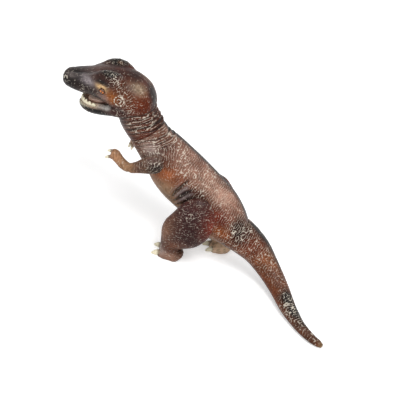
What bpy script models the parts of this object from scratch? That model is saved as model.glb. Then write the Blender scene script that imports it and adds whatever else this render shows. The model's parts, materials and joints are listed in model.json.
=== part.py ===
# Toy dinosaur figure: a soft vinyl two-legged dinosaur whose castings plug into each other.
# Head and torso are hollow. Tail, arms and legs are solid.
# Metres, +Z up. The toy faces -Y, its left side is +X, and it stands on its two soles at Z = 0.
# The origin is the bottom centre of the whole figure's bounding box.
# While it is modelled, X = 0 is the middle plane of the body and Y = 0 lies between the hips.

import math

import bpy
import numpy as np
from mathutils import Matrix, Vector

MM = 0.001

# Fits that every joint and insert shares
GAP = 0.3 * MM
CUT_OVERRUN = 6.0 * MM
CUTTER_SIZE = 400.0 * MM

# Torso: from the tail seam forward to the neck seam
TORSO_RUN = 126.0 * MM
TORSO_RISE = 79.0 * MM
TORSO_WIDTH = 52.0 * MM
TORSO_DEPTH = 54.0 * MM
TORSO_WALL = 2.5 * MM
SEAM_PLATE = 2.5 * MM
TAIL_SEAM_Y = 36.0 * MM
TAIL_SEAM_HEIGHT = 47.0 * MM
TAIL_SEAM_RADIUS = 20.0 * MM
TAIL_PITCH_DEG = 33.0
NECK_SEAM_RADIUS = 20.5 * MM
NECK_PITCH_DEG = 43.0

# Hips and shoulders: flat round seats on the torso's flanks. The shoulders' place is a share of its run
HIP_Y = -8.0 * MM
HIP_HEIGHT = 68.0 * MM
HIP_SEAT_X = 23.5 * MM
HIP_SEAT_RADIUS = 15.0 * MM
HIP_ROOM_RADIUS = 32.0 * MM
HIP_PLUG_RADIUS = 7.0 * MM
SHOULDER_RUN_SHARE = 0.8333
SHOULDER_HEIGHT = 107.0 * MM
SHOULDER_SEAT_X = 24.5 * MM
SHOULDER_SEAT_RADIUS = 9.0 * MM
SHOULDER_ROOM_RADIUS = 15.0 * MM
SHOULDER_PLUG_RADIUS = 4.5 * MM

# Plugs: a shaft through the seam plate and a flange behind it
NECK_PLUG_RADIUS = 12.0 * MM
TAIL_PLUG_RADIUS = 10.0 * MM
PLUG_WALL = 2.5 * MM
FLANGE_LIP = 2.2 * MM
FLANGE_THICKNESS = 2.0 * MM

# Head: from the neck seam forward to the nose
HEAD_LENGTH = 104.0 * MM
HEAD_WIDTH = 52.0 * MM
HEAD_HEIGHT = 60.0 * MM
HEAD_WALL = 2.2 * MM
BROW_RADIUS = 8.4 * MM
EYE_RADIUS = 3.3 * MM
MOUTH_DEPTH = 5.0 * MM

# Lower teeth: one strip bent round the jaw, and the tongue between its two rows
TEETH_ARCH_HALF_WIDTH = 14.0 * MM
TEETH_ARCH_LENGTH = 19.0 * MM
TOOTH_HEIGHT = 4.8 * MM
TOOTH_THICKNESS = 2.2 * MM
TOOTH_ROOT = 2.0 * MM
TEETH_PER_SIDE_COUNT = 6

# Tail: from its seam back to the tip
TAIL_RUN = 133.0 * MM
TAIL_SWING = 76.0 * MM

# Legs and feet
LEG_DEPTH = 48.0 * MM
LEG_THICKNESS = 19.0 * MM
LEFT_STRIDE = 0.0 * MM
RIGHT_STRIDE = 50.0 * MM
FOOT_LENGTH = 23.0 * MM
FOOT_WIDTH = 30.0 * MM
FOOT_HEIGHT = 15.0 * MM
FOOT_X = 22.0 * MM
HEEL_Y = -8.5 * MM
TOE_RADIUS = 4.6 * MM
TOE_CLAW_LENGTH = 11.0 * MM
TOE_CLAW_RADIUS = 3.2 * MM

# Arms and hands
ARM_REACH = 50.0 * MM
ARM_RADIUS = 5.2 * MM
FINGER_RADIUS = 3.0 * MM
FINGER_CLAW_LENGTH = 6.4 * MM
FINGER_CLAW_RADIUS = 1.8 * MM

# Facets: the voxel that blends the forms of one casting, and the share of its facets that stays
BLEND_VOXEL = 1.25 * MM
BLEND_PASSES = 4
HEAD_FACET_SHARE = 0.065
TORSO_FACET_SHARE = 0.035
LEG_FACET_SHARE = 0.045
ARM_FACET_SHARE = 0.12
TAIL_FACET_SHARE = 0.04
RING_POINT_COUNT = 24
CAVITY_POINT_COUNT = 16
SMALL_RING_POINT_COUNT = 12
CLAW_RING_POINT_COUNT = 8


def clear_scene():
    for item in list(bpy.data.objects):
        bpy.data.objects.remove(item, do_unlink=True)


def vinyl(name, colour, roughness):
    material = bpy.data.materials.new(name)
    material.use_nodes = True
    shader = material.node_tree.nodes["Principled BSDF"]
    shader.inputs["Base Color"].default_value = (*colour, 1.0)
    shader.inputs["Roughness"].default_value = roughness
    shader.inputs["Metallic"].default_value = 0.0
    return material


def new_object(name, verts, faces):
    mesh = bpy.data.meshes.new(name)
    mesh.from_pydata([tuple(map(float, v)) for v in verts], [], faces)
    mesh.validate()
    obj = bpy.data.objects.new(name, mesh)
    bpy.context.scene.collection.objects.link(obj)
    return obj


def pitched(degrees):
    # Unit vector that points forward (-Y) and up by this pitch
    angle = math.radians(degrees)
    return Vector((0.0, -math.cos(angle), math.sin(angle)))


# Lofting

def smooth_rows(rows, count):
    # Passes a Catmull-Rom curve through every column of the table and reads count rows from it
    table = np.array(rows, dtype=float)
    last = len(table) - 1
    steps = np.linspace(0.0, last, count)
    low = np.minimum(steps.astype(int), last - 1)
    t = (steps - low)[:, None]
    before = table[np.maximum(low - 1, 0)]
    start = table[low]
    end = table[low + 1]
    after = table[np.minimum(low + 2, last)]
    return 0.5 * (2 * start + (end - before) * t + (2 * before - 5 * start + 4 * end - after) * t ** 2
                  + (3 * start - before - 3 * end + after) * t ** 3)


def loft(name, rows, count, across=(1.0, 0.0, 0.0), first=None, last=None, overrun=0.0, power=2.2,
         points=RING_POINT_COUNT, taper=0.0):
    # Skins rings along a path. A row is x, y, z of the ring's centre, its half width across, its
    # half height above and its half height below. The rings stand square to the path, or to the
    # first and last direction given. With across None they stay upright round a bend. taper narrows
    # a ring towards its top.
    table = smooth_rows(rows, count)
    centres = table[:, :3]
    along = np.gradient(centres, axis=0)
    along /= np.linalg.norm(along, axis=1)[:, None]
    if first is not None:
        along[0] = first
    if last is not None:
        along[-1] = last
    if overrun:
        table = np.vstack([table[:1], table, table[-1:]])
        centres = np.vstack([centres[:1] - along[:1] * overrun, centres, centres[-1:] + along[-1:] * overrun])
        along = np.vstack([along[:1], along, along[-1:]])
    if across is None:
        side = np.cross((0.0, 0.0, 1.0), along)
    else:
        side = np.array(across) - along * (along @ np.array(across))[:, None]
    side /= np.linalg.norm(side, axis=1)[:, None]
    rise = np.cross(along, side)
    turn = np.linspace(0.0, 2.0 * np.pi, points, endpoint=False)
    wide = np.sign(np.cos(turn)) * np.abs(np.cos(turn)) ** (2.0 / power)
    high = np.sign(np.sin(turn)) * np.abs(np.sin(turn)) ** (2.0 / power)
    wide = wide * (1.0 - taper * high)
    reach = np.where(high[None, :] > 0.0, table[:, 4:5], table[:, 5:6])
    verts = (centres[:, None, :] + side[:, None, :] * (table[:, 3:4] * wide[None, :])[:, :, None]
             + rise[:, None, :] * (reach * high[None, :])[:, :, None]).reshape(-1, 3)
    rings = len(table)
    faces = []
    for ring in range(rings - 1):
        for spot in range(points):
            after = (spot + 1) % points
            faces.append((ring * points + spot, ring * points + after,
                          (ring + 1) * points + after, (ring + 1) * points + spot))
    faces.append(tuple(reversed(range(points))))
    faces.append(tuple(range((rings - 1) * points, rings * points)))
    return new_object(name, verts, faces)


def round_rod(name, start, end, radius, count=2, points=RING_POINT_COUNT):
    # Straight round rod from start to end
    path = [(*start, radius, radius, radius), (*end, radius, radius, radius)]
    direction = Vector(end) - Vector(start)
    across = (0.0, 0.0, 1.0) if abs(direction.x) > abs(direction.y) else (1.0, 0.0, 0.0)
    return loft(name, path, count, across=across, power=2.0, points=points)


def ball(name, centre, radii, points=RING_POINT_COUNT):
    # Egg shape from rings of a half circle, along Y
    turns = np.linspace(0.08, np.pi - 0.08, points // 2)
    rows = [(centre[0], centre[1] + radii[1] * math.cos(turn), centre[2], radii[0] * math.sin(turn),
             radii[2] * math.sin(turn), radii[2] * math.sin(turn)) for turn in turns]
    return loft(name, rows, len(rows), power=2.0, points=points)


# Combining solids

def baked(obj):
    # Replaces the object's mesh by what its modifiers make of it
    graph = bpy.context.evaluated_depsgraph_get()
    graph.update()
    mesh = bpy.data.meshes.new_from_object(obj.evaluated_get(graph))
    obj.modifiers.clear()
    old = obj.data
    obj.data = mesh
    mesh.name = obj.name
    bpy.data.meshes.remove(old)
    return obj


def combine(obj, operation, tools):
    for tool in tools:
        modifier = obj.modifiers.new(operation.lower(), "BOOLEAN")
        modifier.operation = operation
        modifier.solver = "EXACT"
        modifier.object = tool
        baked(obj)
        bpy.data.objects.remove(tool, do_unlink=True)
    return obj


def cut(obj, *tools):
    return combine(obj, "DIFFERENCE", tools)


def add(obj, *tools):
    return combine(obj, "UNION", tools)


def blend(name, forms, share):
    # Melts overlapping forms into one skin with rounded inner corners, then thins its facets
    verts = []
    faces = []
    for form in forms:
        base = len(verts)
        verts += [tuple(v.co) for v in form.data.vertices]
        faces += [tuple(base + i for i in p.vertices) for p in form.data.polygons]
        bpy.data.objects.remove(form, do_unlink=True)
    obj = new_object(name, verts, faces)
    remesh = obj.modifiers.new("blend", "REMESH")
    remesh.mode = "VOXEL"
    remesh.voxel_size = BLEND_VOXEL
    soften = obj.modifiers.new("soften", "SMOOTH")
    soften.factor = 0.5
    soften.iterations = BLEND_PASSES
    thin = obj.modifiers.new("thin", "DECIMATE")
    thin.ratio = share
    thin.use_collapse_triangulate = True
    return baked(obj)


def beyond(name, point, direction):
    # Block that fills the space beyond a plane: it cuts a form off flat
    direction = Vector(direction).normalized()
    half = CUTTER_SIZE / 2
    corners = [(x * half, y * half, z * CUTTER_SIZE) for z in (0, 1) for y in (-1, 1) for x in (-1, 1)]
    faces = [(0, 2, 3, 1), (4, 5, 7, 6), (0, 1, 5, 4), (2, 6, 7, 3), (0, 4, 6, 2), (1, 3, 7, 5)]
    obj = new_object(name, corners, faces)
    turn = direction.to_track_quat("Z", "Y").to_matrix().to_4x4()
    obj.data.transform(Matrix.Translation(Vector(point)) @ turn)
    return obj


def floor():
    return beyond("floor", (0.0, 0.0, 0.0), (0.0, 0.0, -1.0))


def plug(name, seat, inward, radius):
    # Turned plug of a casting: the shaft runs from inside the casting through the seam plate,
    # and the flange lies behind the plate. seat is the centre of the mating face.
    inward = Vector(inward).normalized()
    seat = Vector(seat)
    behind = SEAM_PLATE + GAP
    rod = round_rod(name, seat - inward * CUT_OVERRUN, seat + inward * (behind + FLANGE_THICKNESS), radius)
    flange = round_rod("flange", seat + inward * behind, seat + inward * (behind + FLANGE_THICKNESS),
                       radius + FLANGE_LIP)
    add(rod, flange)
    return rod


def bore(seat, inward, radius):
    # Long rod that bores a plug through, from behind its flange into its casting's cavity
    inward = Vector(inward).normalized()
    seat = Vector(seat)
    length = SEAM_PLATE + GAP + FLANGE_THICKNESS + CUT_OVERRUN
    return round_rod("bore", seat + inward * length, seat - inward * 2 * CUT_OVERRUN, radius)


# Torso

# Places and sizes along the torso: share of the run forward, share of the rise, half width as a share
# of the width, half height above and below as shares of the depth
TORSO_SHARES = [
    (0.000, 0.000, 0.365, 0.350, 0.350),
    (0.111, 0.127, 0.410, 0.480, 0.570),
    (0.254, 0.278, 0.440, 0.545, 0.610),
    (0.413, 0.418, 0.455, 0.545, 0.595),
    (0.571, 0.544, 0.470, 0.550, 0.600),
    (0.714, 0.658, 0.475, 0.535, 0.525),
    (0.841, 0.772, 0.460, 0.505, 0.385),
    (0.937, 0.886, 0.425, 0.430, 0.340),
    (1.000, 1.000, 0.394, 0.380, 0.380),
]


def tail_seam():
    return Vector((0.0, TAIL_SEAM_Y, TAIL_SEAM_HEIGHT))


def neck_seam():
    return tail_seam() + Vector((0.0, -TORSO_RUN, TORSO_RISE))


def tail_way():
    # Points out of the torso along the tail's axis
    return -pitched(TAIL_PITCH_DEG)


def neck_way():
    # Points out of the torso along the neck's axis
    return pitched(NECK_PITCH_DEG)


def hip(side):
    return Vector((side * HIP_SEAT_X, HIP_Y, HIP_HEIGHT))


def shoulder(side):
    return Vector((side * SHOULDER_SEAT_X, tail_seam().y - SHOULDER_RUN_SHARE * TORSO_RUN, SHOULDER_HEIGHT))


def torso_rows(wall):
    start = tail_seam()
    rows = []
    for run, rise, width, up, down in TORSO_SHARES:
        rows.append([0.0, start.y - run * TORSO_RUN, start.z + rise * TORSO_RISE, width * TORSO_WIDTH - wall,
                     up * TORSO_DEPTH - wall, down * TORSO_DEPTH - wall])
    rows[0][3:] = [TAIL_SEAM_RADIUS - wall] * 3
    rows[-1][3:] = [NECK_SEAM_RADIUS - wall] * 3
    return rows


def make_torso():
    outer = loft("outer", torso_rows(0.0), 30, first=-tail_way(), last=neck_way(), overrun=CUT_OVERRUN,
                 taper=0.10)
    forms = [outer]
    for side in (1, -1):
        inner = Vector((-side * SHOULDER_SEAT_RADIUS, 0.0, 0.0))
        forms.append(round_rod("shoulder_seat", shoulder(side) + inner,
                               shoulder(side) + Vector((side * GAP, 0.0, 0.0)), SHOULDER_SEAT_RADIUS))
        inner = Vector((-side * HIP_SEAT_RADIUS, 0.0, 0.0))
        forms.append(round_rod("hip_seat", hip(side) + inner, hip(side) + Vector((side * GAP, 0.0, 0.0)),
                               HIP_SEAT_RADIUS))
    torso = blend("torso_shell", forms, TORSO_FACET_SHARE)
    cut(torso, beyond("neck_face", neck_seam(), neck_way()), beyond("tail_face", tail_seam(), tail_way()))
    for side in (1, -1):
        outward = Vector((side, 0.0, 0.0))
        cut(torso, turning_room(hip(side), outward, HIP_ROOM_RADIUS + GAP),
            turning_room(shoulder(side), outward, SHOULDER_ROOM_RADIUS + GAP))
    rows = torso_rows(TORSO_WALL)
    rows[0][1:3] = (tail_seam() - tail_way() * SEAM_PLATE)[1:]
    rows[-1][1:3] = (neck_seam() - neck_way() * SEAM_PLATE)[1:]
    cut(torso, loft("cavity", rows, 16, first=-tail_way(), last=neck_way(), points=CAVITY_POINT_COUNT,
                    taper=0.10))
    for side in (1, -1):
        for seat, radius in ((hip(side), HIP_PLUG_RADIUS), (shoulder(side), SHOULDER_PLUG_RADIUS)):
            outward = Vector((side, 0.0, 0.0))
            hole = round_rod("hole", seat + outward * CUT_OVERRUN, seat - outward * 2 * CUT_OVERRUN,
                             radius + GAP)
            cut(torso, flange_room(seat, outward, radius), hole)
    cut(torso, round_rod("neck_hole", neck_seam() + neck_way() * CUT_OVERRUN,
                         neck_seam() - neck_way() * 2 * CUT_OVERRUN, NECK_PLUG_RADIUS + GAP))
    cut(torso, round_rod("tail_hole", tail_seam() + tail_way() * CUT_OVERRUN,
                         tail_seam() - tail_way() * 2 * CUT_OVERRUN, TAIL_PLUG_RADIUS + GAP))
    return torso


def turning_room(seat, way, radius):
    # Round room on one side of a seat's plane: it keeps one casting out of the other's sweep
    return round_rod("turning_room", seat, seat + way * 2 * radius, radius)


def flange_room(seat, outward, radius):
    # Flat round pocket behind a seam plate, where the flange of a plug turns
    start = seat - outward * SEAM_PLATE
    end = start - outward * (FLANGE_THICKNESS + CUT_OVERRUN)
    return round_rod("flange_room", start, end, radius + FLANGE_LIP + 2 * GAP)


# Tail

# Share of the run back, share of the swing to the left, height above the ground as a share of the seam's
# height, radius as a share of the seam's radius
TAIL_SHARES = [
    (0.000, 0.000, 1.000, 1.000),
    (0.105, 0.010, 0.920, 0.940),
    (0.240, 0.032, 0.750, 0.815),
    (0.350, 0.090, 0.553, 0.690),
    (0.445, 0.195, 0.415, 0.600),
    (0.530, 0.330, 0.309, 0.530),
    (0.610, 0.507, 0.234, 0.470),
    (0.655, 0.609, 0.204, 0.430),
    (0.725, 0.738, 0.164, 0.352),
    (0.800, 0.855, 0.135, 0.295),
    (0.895, 0.953, 0.110, 0.245),
    (0.965, 0.987, 0.088, 0.195),
    (1.000, 1.000, 0.070, 0.115),
]


def tail_rows():
    start = tail_seam()
    lead = start - tail_way() * CUT_OVERRUN
    rows = [[*lead, TAIL_SEAM_RADIUS, TAIL_SEAM_RADIUS, TAIL_SEAM_RADIUS]]
    for run, swing, height, radius in TAIL_SHARES:
        size = radius * TAIL_SEAM_RADIUS
        rows.append([swing * TAIL_SWING, start.y + run * TAIL_RUN, height * TAIL_SEAM_HEIGHT,
                     size, size, size])
    return rows


def make_tail():
    outer = loft("outer", tail_rows(), 44, across=(-1.0, 0.0, 0.0), first=tail_way())
    tail = blend("tail_shell", [outer], TAIL_FACET_SHARE)
    seat = tail_seam() + tail_way() * GAP
    cut(tail, beyond("tail_face", seat, -tail_way()), floor())
    add(tail, plug("plug", tail_seam(), -tail_way(), TAIL_PLUG_RADIUS))
    return tail


# Head

# Skull and upper jaw: share of the head's length forward of the neck seam, share of its height above the
# neck seam's centre, half width, half height above and half height below, as shares of width and height
SKULL_SHARES = [
    (0.010, 0.460, 0.180, 0.060, 0.130),
    (0.050, 0.480, 0.340, 0.150, 0.220),
    (0.100, 0.510, 0.420, 0.230, 0.280),
    (0.165, 0.540, 0.470, 0.325, 0.310),
    (0.269, 0.565, 0.490, 0.380, 0.330),
    (0.385, 0.580, 0.480, 0.380, 0.300),
    (0.500, 0.580, 0.440, 0.335, 0.265),
    (0.615, 0.560, 0.375, 0.285, 0.245),
    (0.730, 0.515, 0.310, 0.220, 0.240),
    (0.846, 0.470, 0.260, 0.170, 0.215),
    (0.930, 0.430, 0.205, 0.145, 0.165),
    (0.970, 0.415, 0.120, 0.085, 0.105),
]

# Lower jaw, the same way
JAW_SHARES = [
    (0.170, 0.350, 0.400, 0.130, 0.150),
    (0.289, 0.300, 0.430, 0.130, 0.140),
    (0.385, 0.250, 0.400, 0.120, 0.145),
    (0.500, 0.170, 0.345, 0.130, 0.150),
    (0.596, 0.110, 0.290, 0.130, 0.145),
    (0.673, 0.100, 0.240, 0.110, 0.130),
    (0.731, 0.125, 0.170, 0.065, 0.090),
    (0.752, 0.130, 0.090, 0.030, 0.045),
]

# Neck: share of the head's length forward and of its height above the neck seam, radius as a share of the
# seam's radius
NECK_SHARES = [
    (0.000, 0.000, 1.00),
    (0.070, 0.110, 1.03),
    (0.145, 0.240, 1.02),
    (0.200, 0.390, 0.94),
]

# One brow ridge: lengthwise, upwards and sideways shares of the head's length, height and width, and its
# radius as a share of the brow's radius
BROW_SHARES = [
    (0.730, 0.615, 0.170, 0.50),
    (0.640, 0.700, 0.250, 0.75),
    (0.560, 0.790, 0.290, 0.95),
    (0.475, 0.838, 0.300, 1.00),
    (0.380, 0.812, 0.280, 0.90),
    (0.280, 0.752, 0.230, 0.60),
]

# Hollow inside the skull, the same way as the skull: it stays clear of the eye sockets
HOLLOW_SHARES = [
    (0.095, 0.515, 0.330, 0.165, 0.215),
    (0.170, 0.545, 0.415, 0.275, 0.265),
    (0.280, 0.570, 0.445, 0.335, 0.290),
    (0.390, 0.590, 0.430, 0.335, 0.260),
    (0.460, 0.590, 0.330, 0.305, 0.225),
    (0.560, 0.580, 0.272, 0.260, 0.205),
    (0.680, 0.540, 0.235, 0.195, 0.185),
    (0.790, 0.500, 0.195, 0.135, 0.165),
    (0.840, 0.480, 0.120, 0.070, 0.110),
]

# Eye: lengthwise, upwards and sideways shares of the head's length, height and width
EYE_SHARES = (0.524, 0.600, 0.395)

# Depths of the trough and of the tongue above and below the jaw's upper side, as shares of the mouth's depth
TROUGH_BELOW_SHARE = 0.8
TONGUE_ABOVE_SHARE = 0.2
TONGUE_BELOW_SHARE = 0.95

# Where the trough of the mouth is read along the head, and the same for the tongue with its half width as
# a share of the jaw's
MOUTH_SHARES = (0.40, 0.48, 0.56, 0.64, 0.71)
TONGUE_SHARES = (
    (0.44, 0.46),
    (0.51, 0.50),
    (0.58, 0.50),
    (0.64, 0.42),
    (0.67, 0.26),
)

# Root of the lower teeth above the neck seam's centre, as a share of the head's height, at the tip of the
# jaw and at the rear tooth, and the front end of the arch as a share of the head's length
TEETH_FRONT_RISE_SHARE = 0.150
TEETH_REAR_RISE_SHARE = 0.205
TEETH_TIP_SHARE = 0.738

# Height left between two teeth, and what the rear teeth lack, as shares of a tooth's height
NOTCH_SHARE = 0.2
REAR_LOSS_SHARE = 0.4
CROWN_POWER = 0.6


def head_point(along, rise, aside=0.0):
    base = neck_seam()
    return Vector((aside * HEAD_WIDTH, base.y - along * HEAD_LENGTH, base.z + rise * HEAD_HEIGHT))


def head_rows(shares, wall=0.0):
    rows = []
    for along, rise, width, up, down in shares:
        rows.append([*head_point(along, rise), width * HEAD_WIDTH - wall, up * HEAD_HEIGHT - wall,
                     down * HEAD_HEIGHT - wall])
    return rows


def neck_rows(wall):
    rows = []
    for along, rise, radius in NECK_SHARES:
        size = radius * NECK_SEAM_RADIUS - wall
        rows.append([*head_point(along, rise), size, size, size])
    return rows


def brow(side):
    rows = []
    for along, rise, aside, radius in BROW_SHARES:
        size = radius * BROW_RADIUS
        rows.append([*head_point(along, rise, side * aside), size, size, size])
    return loft("brow", rows, 10, power=2.0, points=SMALL_RING_POINT_COUNT)


def eye_centre(side):
    along, rise, aside = EYE_SHARES
    return head_point(along, rise, side * aside)


def make_eye(side, grow=0.0):
    name = "left_eye" if side > 0 else "right_eye"
    size = EYE_RADIUS + grow
    return ball(name, eye_centre(side), (size, size, size), SMALL_RING_POINT_COUNT)


def jaw_top(along):
    # Middle of the lower jaw's upper side and the jaw's half width, at this share of the head's length
    table = np.array(JAW_SHARES)
    rise = np.interp(along, table[:, 0], table[:, 1] + table[:, 3])
    half = np.interp(along, table[:, 0], table[:, 2]) * HEAD_WIDTH
    return head_point(along, rise), half


def mouth_floor():
    # Trough between the two rows of lower teeth
    rows = []
    for along in MOUTH_SHARES:
        top, half = jaw_top(along)
        rows.append([*top, half - 2 * TOOTH_THICKNESS, MOUTH_DEPTH,
                     MOUTH_DEPTH * TROUGH_BELOW_SHARE])
    return loft("mouth_floor", rows, 10, points=SMALL_RING_POINT_COUNT)


def make_tongue(grow=0.0):
    rows = []
    for along, width in TONGUE_SHARES:
        top, half = jaw_top(along)
        rows.append([*top, half * width + grow, MOUTH_DEPTH * TONGUE_ABOVE_SHARE + grow,
                     MOUTH_DEPTH * TONGUE_BELOW_SHARE + grow])
    return loft("tongue", rows, 9, overrun=grow, points=SMALL_RING_POINT_COUNT)


def make_teeth(grow=0.0):
    # A strip that follows half an ellipse from the left rear tooth round the tip to the right one.
    # Its height swells and sinks once for every tooth.
    tip = head_point(TEETH_TIP_SHARE, TEETH_FRONT_RISE_SHARE)
    climb = (TEETH_REAR_RISE_SHARE - TEETH_FRONT_RISE_SHARE) * HEAD_HEIGHT
    teeth = 2 * TEETH_PER_SIDE_COUNT
    steps = 4 * teeth
    rows = []
    for step in range(steps + 1):
        turn = math.pi * (0.5 - step / steps)
        crown = math.sin(math.pi * step * teeth / steps % math.pi) ** CROWN_POWER
        back = 1.0 - math.cos(turn)
        height = TOOTH_HEIGHT * (NOTCH_SHARE + (1.0 - NOTCH_SHARE) * crown) * (1.0 - REAR_LOSS_SHARE * back)
        rows.append([math.sin(turn) * TEETH_ARCH_HALF_WIDTH, tip.y + back * TEETH_ARCH_LENGTH,
                     tip.z + back * climb, TOOTH_THICKNESS / 2 + grow, height + grow, TOOTH_ROOT + grow])
    return loft("lower_teeth", rows, len(rows), across=None, overrun=grow, points=CLAW_RING_POINT_COUNT)


def make_head():
    skull = loft("skull", head_rows(SKULL_SHARES), 34, taper=0.05)
    jaw = loft("jaw", head_rows(JAW_SHARES), 20)
    neck = loft("neck", neck_rows(0.0), 12, first=neck_way(), overrun=CUT_OVERRUN, power=2.0)
    head = blend("head_shell", [skull, jaw, neck, brow(1), brow(-1)], HEAD_FACET_SHARE)
    seat = neck_seam() + neck_way() * GAP
    cut(head, beyond("neck_face", seat, -neck_way()))
    add(head, plug("plug", neck_seam(), -neck_way(), NECK_PLUG_RADIUS))
    rows = neck_rows(HEAD_WALL)
    rows[0][:3] = seat + neck_way() * SEAM_PLATE
    cut(head, loft("neck_cavity", rows, 8, first=neck_way(), points=CAVITY_POINT_COUNT))
    cut(head, loft("skull_cavity", head_rows(HOLLOW_SHARES), 14, points=CAVITY_POINT_COUNT))
    cut(head, bore(neck_seam(), -neck_way(), NECK_PLUG_RADIUS - PLUG_WALL))
    for side in (1, -1):
        cut(head, make_eye(side, GAP))
    cut(head, mouth_floor(), make_tongue(GAP), make_teeth(GAP))
    return head


# Claws

# Share of the length along a claw and the ring's size there as a share of the radius
CLAW_SHARES = ((0.0, 0.92), (0.3, 1.0), (0.6, 0.82), (0.86, 0.50), (1.0, 0.20))

# Droop of a claw's tip and half width of its rings, as shares of its radius and size. A toe's claw droops
# until its tip rests on the floor.
TOE_CLAW_DROOP_SHARE = 1.25
FINGER_CLAW_DROOP_SHARE = 0.9
CLAW_WIDTH_SHARE = 0.85

# Length of a claw that lies inside its toe or finger
TOE_CLAW_SUNK_SHARE = 0.42
FINGER_CLAW_SUNK_SHARE = 0.4


def claw(name, root, direction, length, radius, droop, grow=0.0):
    # Curved cone that droops towards its tip
    direction = Vector(direction).normalized()
    root = Vector(root)
    drop = Vector((0.0, 0.0, -radius * droop))
    rows = []
    for share, size in CLAW_SHARES:
        centre = root + direction * length * share + drop * share ** 2
        thick = radius * size + grow
        rows.append([*centre, thick * CLAW_WIDTH_SHARE, thick, thick])
    rows[0][:3] = root - direction * grow
    return loft(name, rows, 6, power=2.0, points=CLAW_RING_POINT_COUNT)


# Legs

# Height of the ring as a share of the hip's height, place forward as a share of the leg's depth, place
# outward of the hip seat as a share of the thickness, half thickness, half depth forward and half depth
# back, and the share of the stride that the ring moves back by
LEG_SHARES = [
    (1.300, 0.00, 0.16, 0.14, 0.10, 0.12, 0.00),
    (1.220, 0.01, 0.32, 0.34, 0.27, 0.33, 0.02),
    (1.040, 0.04, 0.42, 0.45, 0.39, 0.48, 0.11),
    (0.840, 0.09, 0.50, 0.52, 0.45, 0.55, 0.26),
    (0.640, 0.16, 0.52, 0.54, 0.49, 0.50, 0.49),
    (0.470, 0.25, 0.42, 0.54, 0.42, 0.36, 0.76),
    (0.330, 0.31, 0.30, 0.48, 0.28, 0.23, 0.93),
    (0.200, 0.31, 0.24, 0.43, 0.23, 0.19, 0.97),
    (0.060, 0.30, 0.20, 0.43, 0.23, 0.19, 1.00),
]

# Foot: share of its length forward of the heel, share of its width outward, height of the ring's centre,
# half width, half height up and down as shares of the foot's width and height
FOOT_SHARES = [
    (-0.04, 0.19, 0.30, 0.15, 0.26, 0.60),
    (0.08, 0.17, 0.38, 0.29, 0.46, 0.85),
    (0.40, 0.07, 0.46, 0.41, 0.46, 0.95),
    (0.75, 0.01, 0.34, 0.48, 0.36, 0.85),
    (1.00, 0.00, 0.26, 0.44, 0.26, 0.70),
]

# Height of a toe's middle as a share of the toe's radius, and of its claw's root as a share of the claw's
TOE_SINK_SHARE = 0.65
CLAW_LIFT_SHARE = 1.36

# Share of the way along a toe and the ring's size there, and the half height of a toe's upper side, as
# shares of the toe's radius
TOE_RING_SHARES = ((0.0, 1.0), (0.45, 0.92), (0.75, 1.0), (0.93, 0.82), (1.0, 0.5))
TOE_TOP_SHARE = 0.9

# Toes: name, place of the knuckle and of the tip as shares of the foot's width and length
TOE_SHARES = [
    ("outer", 0.26, 0.62, 0.33, 1.08),
    ("middle", -0.02, 0.62, -0.12, 1.12),
    ("inner", -0.26, 0.60, -0.38, 0.88),
]


def foot_point(side, stride, aside, forward, height):
    return Vector((side * (FOOT_X + aside * FOOT_WIDTH), HEEL_Y + stride - forward * FOOT_LENGTH,
                   height * FOOT_HEIGHT))


def toe_ends(side, stride, toe, height):
    name, knuckle_x, knuckle_y, tip_x, tip_y = toe
    knuckle = foot_point(side, stride, knuckle_x, knuckle_y, 0.0)
    tip = foot_point(side, stride, tip_x, tip_y, 0.0)
    knuckle.z = tip.z = height
    return knuckle, tip


def make_toe(side, stride, toe):
    knuckle, tip = toe_ends(side, stride, toe, TOE_RADIUS * TOE_SINK_SHARE)
    way = tip - knuckle
    rows = []
    for share, size in TOE_RING_SHARES:
        centre = knuckle + way * share
        rows.append([*centre, TOE_RADIUS * size, TOE_RADIUS * size * TOE_TOP_SHARE, TOE_RADIUS * size])
    return loft("toe", rows, 9, power=2.0, points=SMALL_RING_POINT_COUNT)


def make_toe_claw(side, stride, toe, grow=0.0):
    knuckle, tip = toe_ends(side, stride, toe, TOE_CLAW_RADIUS * CLAW_LIFT_SHARE)
    way = (tip - knuckle).normalized()
    root = tip - way * TOE_CLAW_LENGTH * TOE_CLAW_SUNK_SHARE
    hand = "left" if side > 0 else "right"
    return claw(f"{hand}_{toe[0]}_toe_claw", root, way, TOE_CLAW_LENGTH, TOE_CLAW_RADIUS,
                TOE_CLAW_DROOP_SHARE, grow)


def standing_claw(side, stride, toe):
    # The tip's underside is flat on the floor
    return cut(make_toe_claw(side, stride, toe), floor())


def make_leg(side, stride):
    rows = []
    for height, forward, outward, thick, front, back, moved in LEG_SHARES:
        rows.append([side * (HIP_SEAT_X + outward * LEG_THICKNESS),
                     HIP_Y - forward * LEG_DEPTH + stride * moved, height * HIP_HEIGHT,
                     thick * LEG_THICKNESS, front * LEG_DEPTH, back * LEG_DEPTH])
    forms = [loft("thigh", rows, 26, first=(0.0, 0.0, -1.0), last=(0.0, 0.0, -1.0))]
    foot_rows = []
    for forward, aside, height, wide, up, down in FOOT_SHARES:
        foot_rows.append([*foot_point(side, stride, aside, forward, height), wide * FOOT_WIDTH,
                          up * FOOT_HEIGHT, down * FOOT_HEIGHT])
    forms.append(loft("foot", foot_rows, 10))
    forms += [make_toe(side, stride, toe) for toe in TOE_SHARES]
    leg = blend("left_leg" if side > 0 else "right_leg", forms, LEG_FACET_SHARE)
    outward = Vector((side, 0.0, 0.0))
    cut(leg, floor(), turning_room(hip(side) + outward * GAP, -outward, HIP_ROOM_RADIUS))
    add(leg, plug("plug", hip(side), -outward, HIP_PLUG_RADIUS))
    for toe in TOE_SHARES:
        cut(leg, make_toe_claw(side, stride, toe, GAP))
    return leg


# Arms

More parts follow.
